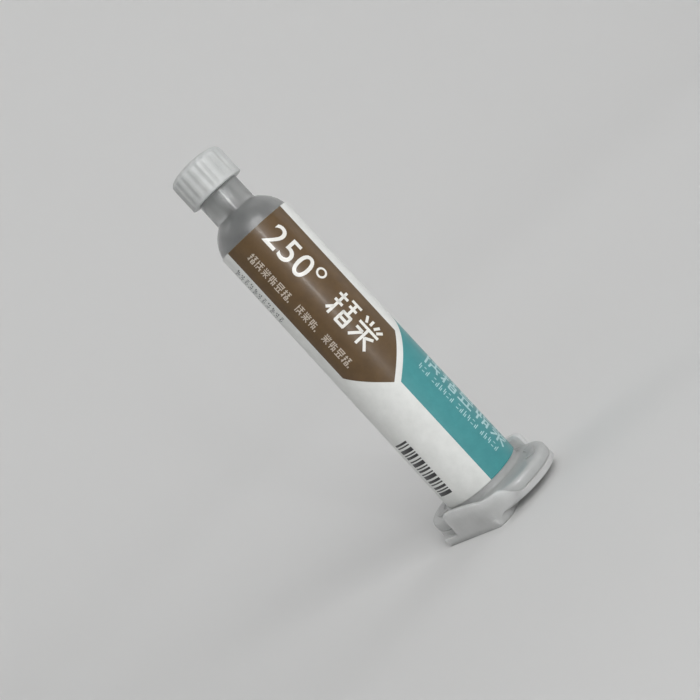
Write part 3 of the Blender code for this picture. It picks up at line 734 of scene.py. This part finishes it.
words = strokes(CELLS[0], arc_of(-2.8), 56.0, 6.2, 5.7, 0.62)
words += strokes(CELLS[1], arc_of(-2.8), 49.2, 6.2, 5.4, 0.62)
wrap("print_words", [flat_shape([outline]) for outline in words], 2 * INK_LIFT, white_ink)

line = []
for level, group, first in ((73.6, 6, 0), (59.7, 3, 3), (51.7, 4, 1)):
    for k in range(group):
        line += strokes(CELLS[(first + 3 * k) % 5], arc_of(-33.2), level - 1.97 * k, 2.05, 1.6, 0.21)
    end = level - 1.97 * group + 0.1
    line.append(bar(arc_of(-33.0), arc_of(-33.0) + 0.45, end - 0.3, end))
wrap("print_line", [flat_shape([outline]) for outline in line], 2 * INK_LIFT, beige_ink)

bars = []
level = 24.6
for thick, gap in ((0.5, 0.35), (0.3, 0.5), (0.9, 0.35), (0.3, 0.3), (0.6, 0.55), (0.3, 0.35), (0.9, 0.4),
                   (0.3, 0.35), (0.5, 0.5), (0.3, 0.3), (0.9, 0.45), (0.6, 0.35), (0.3, 0.5), (0.6, 0.35),
                   (0.3, 0.3), (0.9, 0.35)):
    bars.append(bar(arc_of(-70.0), arc_of(-43.0), level - thick, level))
    level -= thick + gap
wrap("print_bars", [flat_shape(bars)], INK_LIFT, black_ink)

rows = []
for k in range(3):
    level = 73.2
    for number in range(11):
        cell = MINI_CELLS[(number + 2 * k) % 4]
        rows += strokes(cell, arc_of(-63.5 - 6.6 * k), level, 0.8, 0.75 + 0.3 * ((number + k) % 2), 0.24)
        level -= 1.15 + 0.3 * ((number + k) % 2)
wrap("print_rows", [flat_shape([outline]) for outline in rows], INK_LIFT, grey_ink)

caption = []
level = 34.2
for group in (3, 6, 6, 5):
    for k in range(group):
        caption += strokes(MINI_CELLS[(k * 3 + group) % 4], arc_of(39.0), level, 1.55, 0.85, 0.2)
        level -= 1.1
    level -= 0.75
wrap("print_caption", [flat_shape([outline]) for outline in caption], 2 * INK_LIFT, pale_ink)

signs = []
for k in range(5):
    signs += strokes(CELLS[(2 * k + 3) % 5], arc_of(53.5), 33.9 - 5.05 * k, 4.6, 4.3, 0.5)
wrap("print_signs", [flat_shape([outline]) for outline in signs], 2 * INK_LIFT, pale_ink)


# Tip cap
# A milky white moulding with shallow flutes round its head, a low crown, and a spigot with two lugs that locks
# inside the collar.

HEAD_R, HEAD_BOTTOM, HEAD_CORNER, HEAD_CROWN = 6.5, 88.05, 94.65, 1.45
FLUTES, FLUTE_DEPTH = 20, 0.2
SPIGOT_R, SPIGOT_END = 3.3, 84.6
CROWN_IN = 0.35
LUG_RISE, LUG_HALF_ANGLE, LUG_TOP = 0.45, 0.30, HEAD_BOTTOM - 2.4
NOZZLE_ROOM, HOLLOW_TOP = 0.08, 90.4

CAP_STEPS = 320
cap_round = np.arange(CAP_STEPS) * 2 * math.pi / CAP_STEPS
crown_at = np.radians(np.linspace(90.0, 6.0, 14))
head = [((HEAD_R - CROWN_IN) * math.cos(a), HEAD_CORNER + HEAD_CROWN * math.sin(a), 0.0) for a in crown_at]
head[0] = (0.0, HEAD_CORNER + HEAD_CROWN, 0.0)
head += [(HEAD_R - 0.1, HEAD_CORNER - 0.1, 0.5), (HEAD_R, HEAD_CORNER - 1.2, 0.0)]
head += [(HEAD_R, z, 0.0) for z in np.linspace(HEAD_CORNER - 1.6, HEAD_BOTTOM + 1.3, 10)]
head += [(HEAD_R, HEAD_BOTTOM + 0.9, 0.0), (HEAD_R, HEAD_BOTTOM, 0.3), (SPIGOT_R, HEAD_BOTTOM, 0.2)]
head += [(SPIGOT_R, HEAD_BOTTOM - z, 0.0) for z in (2.35, 2.5, 2.65, 3.1)]
head += [(SPIGOT_R, SPIGOT_END, 0.15), (nozzle_radius(SPIGOT_END) + NOZZLE_ROOM, SPIGOT_END, 0.15)]
head += [(nozzle_radius(HOLLOW_TOP) + NOZZLE_ROOM, HOLLOW_TOP, 0.2), (0.0, HOLLOW_TOP, 0.0)]
head = rounded(head)
flute = (0.5 + 0.5 * np.cos(FLUTES * cap_round)) ** 1.4
lug = np.clip((np.abs(np.cos(cap_round)) - math.cos(LUG_HALF_ANGLE)) / 0.012, 0.0, 1.0)
cap_rows = []
for r, z in head:
    outer = np.clip((r - 5.2) / 0.9, 0.0, 1.0) if z > HEAD_BOTTOM + 0.5 else 0.0
    foot_fade = np.clip((z - HEAD_BOTTOM - 0.55) / 0.5, 0.0, 1.0)
    lugged = np.clip((LUG_TOP - z) / 0.2, 0.0, 1.0) if r > SPIGOT_R - 0.2 else 0.0
    cap_rows.append(r - FLUTE_DEPTH * outer * foot_fade * flute + LUG_RISE * lugged * lug)
tip_cap = polar_mesh("tip_cap_moulding", np.array(cap_rows), head[:, 1], cap_round, False)
cap_plastic, tree, shader = principled(
    "milky_polyethylene", (0.56, 0.575, 0.57), 0.4, Subsurface_Weight=0.45, Subsurface_Scale=0.0025,
    Subsurface_Radius=(1.0, 1.0, 1.0), Coat_Weight=0.2, Coat_Roughness=0.25,
)
milk = place(
    tree, cloudy_colour, Scale=300.0, Detail=4.0, Roughness=0.5, Dark=(0.47, 0.485, 0.48, 1.0),
    Light=(0.55, 0.56, 0.555, 1.0),
)
tree.links.new(milk.outputs["Color"], shader.inputs["Base Color"])
tip_cap.data.materials.append(cap_plastic)
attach(tip_cap, "tip_cap")
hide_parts("tip_cap")


# End cap
# One moulding clipped over the flange: a base with bulged ends, a plate of the flange's outline, a plug ring
# inside the bore, and two walls with snap lips, which start straight and turn round one end of the flange.

BASE_TOP, PLATE_LOW, PLATE_TOP = 1.9, 1.7, 3.05
PLUG_R, PLUG_IN_R, PLUG_TOP = 7.85, 6.65, 8.0
WALL_IN, WALL_OUT, WALL_TOP = 10.6, 11.6, 7.4
WALL_START, WALL_CORNER, WRAP_TOP, WRAP_END_TOP, WRAP_FOOT = -3.9, 1.5, 6.4, 3.4, 2.47
WALL_FOOT, STRAIGHT_FALL, LIP_REACH = 1.0, 0.5, 0.25
FAR_LONGER, FAR_HIGHER = 1.3, 0.8


def slab(name, outline, low, high, edge):
    """Closed slab of an outline, with its upper and lower rims rounded."""
    mesh = bpy.data.meshes.new(name)
    work = bmesh.new()
    face = work.faces.new([work.verts.new((x * MM, y * MM, low * MM)) for x, y in outline])
    lifted = bmesh.ops.extrude_face_region(work, geom=[face])["geom"]
    top = [v for v in lifted if isinstance(v, bmesh.types.BMVert)]
    bmesh.ops.translate(work, vec=(0.0, 0.0, (high - low) * MM), verts=top)
    bmesh.ops.recalc_face_normals(work, faces=work.faces)
    rims = [e for e in work.edges if abs(e.verts[0].co.z - e.verts[1].co.z) < 1e-7]
    bmesh.ops.bevel(work, geom=rims, offset=edge * MM, segments=3, profile=0.5, affect="EDGES")
    work.to_mesh(mesh)
    work.free()
    return put(name, mesh)


def ribbon(name, stations, sections, half_turn):
    """Closed wall along the flange. At station (x, angle), point (d, z) of the section lies at
    (x + d cos angle, d sin angle, z). With half_turn, the wall is turned by 180 degrees round Z.
    """
    turned = -1.0 if half_turn else 1.0
    x, angle = np.array(stations)[:, :, None].transpose(1, 0, 2)
    d, z = np.moveaxis(np.array(sections), 2, 0)
    points = np.stack([turned * (x + d * np.cos(angle)), turned * d * np.sin(angle), z], axis=-1) * MM
    index = np.arange(d.size).reshape(d.shape)
    beside = np.roll(index, -1, axis=1)
    faces = np.stack([index[:-1], beside[:-1], beside[1:], index[1:]], axis=-1).reshape(-1, 4).tolist()
    faces += [index[0, ::-1].tolist(), index[-1].tolist()]
    mesh = bpy.data.meshes.new(name)
    mesh.from_pydata(points.reshape(-1, 3).tolist(), [], faces)
    work = bmesh.new()
    work.from_mesh(mesh)
    bmesh.ops.recalc_face_normals(work, faces=work.faces)
    work.to_mesh(mesh)
    work.free()
    return put(name, mesh)


def combine(target, piece, operation="UNION"):
    """Join a closed piece into the target mesh, or cut it away, and remove the piece."""
    boolean = target.modifiers.new("combine", "BOOLEAN")
    boolean.operation = operation
    boolean.solver = "EXACT"
    boolean.object = piece
    bpy.context.view_layer.update()
    mesh = bpy.data.meshes.new_from_object(target.evaluated_get(bpy.context.evaluated_depsgraph_get()))
    target.modifiers.clear()
    old = target.data
    target.data = mesh
    bpy.data.meshes.remove(old)
    bpy.data.objects.remove(piece, do_unlink=True)


def ease(t):
    """Rise from 0 to 1 along half a cosine, flat before and after."""
    return 0.5 - 0.5 * np.cos(math.pi * np.clip(t, 0.0, 1.0))


half_base = [(-9.3, -11.55, 0.35), (10.0, -11.55, 0.7), (10.75, -10.1, 0.8), (11.1, -8.35, 0.9)]
half_base += [(10.6, -6.6, 0.9), (9.8, -4.6, 0.9), (8.9, -2.0, 1.0)]
base_line = rounded(half_base + [(-x, -y, f) for x, y, f in half_base], loop=True, steps=4)
end_cap = slab("end_cap_moulding", base_line, 0.0, BASE_TOP, 0.2)
plate = [(12.0, PLATE_TOP, 0.0), (0.0, PLATE_TOP, 0.3), (0.0, PLATE_LOW, 0.25), (12.0, PLATE_LOW, 0.0)]
plate = rounded(plate)[1:-1]
plate_rows = [np.zeros(STEPS)] + [racetrack(ROUND, inset) for inset, z in plate] + [np.zeros(STEPS)]
plate_z = [PLATE_TOP] + [z for inset, z in plate] + [PLATE_LOW]
combine(end_cap, polar_mesh("plate", np.array(plate_rows), plate_z, ROUND, False))
plug = [(PLUG_R, PLUG_TOP, 0.4), (PLUG_R, 2.4, 0.0), (PLUG_IN_R, 2.4, 0.0), (PLUG_IN_R, PLUG_TOP, 0.3)]
plug = rounded(plug, loop=True)
combine(end_cap, polar_mesh("plug", plug[:, :1] + 0.0 * ROUND, plug[:, 1], ROUND, True))

curve = np.concatenate([np.linspace(-89.0, -80.0, 7), np.linspace(-78.0, -38.0, 16), np.linspace(-37.0, -35.0, 6)])
floor_stations = [(FLANGE_REACH, a) for a in np.radians(np.linspace(-89.0, -35.0, 20))]
floor_sections = [[(9.8, 2.55), (11.1, 2.55), (11.1, 2.95), (9.8, 2.95)] for _ in floor_stations]
for half_turn, start_x, rise in ((False, WALL_START, 0.0), (True, WALL_START - FAR_LONGER, FAR_HIGHER)):
    corner_x = start_x + WALL_CORNER * (1 - np.cos(np.radians(np.linspace(0, 90, 9))))
    straight = np.concatenate([corner_x, np.linspace(start_x + 2.0, FLANGE_REACH, 16)])
    x = np.concatenate([straight, np.full(len(curve), FLANGE_REACH)])
    past = np.concatenate([np.zeros(len(straight)), curve + 90.0])
    # The top edge falls gently along the straight part, more where the wall turns, and most at its end.
    top = WALL_TOP + rise - STRAIGHT_FALL * np.clip((x - 0.5) / (FLANGE_REACH - 0.5), 0.0, 1.0)
    top -= (WALL_TOP - STRAIGHT_FALL - WRAP_TOP) * np.clip(past / 12.0, 0.0, 1.0)
    ending = ease((past - 34.0) / 21.0)
    top -= ending * (WRAP_TOP + rise - WRAP_END_TOP)
    rounding = np.clip(WALL_CORNER - (x - start_x), 0.0, WALL_CORNER)
    top -= WALL_CORNER - np.sqrt(WALL_CORNER ** 2 - rounding ** 2)
    low = WALL_FOOT + ease((past - 12.0) / 22.0) * (WRAP_FOOT - WALL_FOOT)
    # The snap lip fades out towards both ends of the straight part.
    lip = LIP_REACH * np.clip(np.minimum(x - start_x - WALL_CORNER, FLANGE_REACH - 0.2 - x) / 0.6, 0.0, 1.0)
    lip = np.where(past == 0.0, lip, 0.0)
    sections = []
    for top_z, low_z, lip_out, outer in zip(top, low, lip, WALL_OUT - 0.7 * ending):
        step = min(0.45, (top_z - low_z) / 5)
        corners = [(outer, low_z, 0.0), (outer, top_z, 0.32), (WALL_IN, top_z, 0.22), (WALL_IN, top_z - step, 0.0)]
        corners += [(WALL_IN - lip_out, top_z - 2 * step, 0.1), (WALL_IN, top_z - 4 * step, 0.0)]
        corners += [(WALL_IN, low_z, 0.0)]
        sections.append(rounded(corners, loop=True, steps=4))
    stations = np.stack([x, np.radians(past - 90.0)], axis=1)
    combine(end_cap, ribbon("wrap_floor", floor_stations, floor_sections, half_turn))
    combine(end_cap, ribbon("clip_wall", stations, sections, half_turn))
# The gate recess in the middle of the underside, and four ejector marks.
marks = [(0.0, 0.0, 1.6, 0.3)] + [(x, y, 1.3, 0.07) for x in (6.5, -6.5) for y in (7.5, -7.5)]
for x, y, r, depth in marks:
    mark_r = np.array([[0.0], [r], [r + 0.04], [0.0]]) + 0.0 * turn
    mark = polar_mesh("mark", mark_r, [depth, depth, -0.5, -0.5], turn, False)
    mark.location = (x * MM, y * MM, 0.0)
    combine(end_cap, mark, "DIFFERENCE")
end_cap.data.shade_smooth()
end_cap.data.set_sharp_from_angle(angle=math.radians(38))
end_cap.data.materials.clear()
end_cap.data.materials.append(
    milky("end_cap_polypropylene", (0.68, 0.69, 0.68), (0.78, 0.79, 0.78), 0.2, 1.0, 0.4)
)
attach(end_cap, "end_cap")
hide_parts("end_cap")
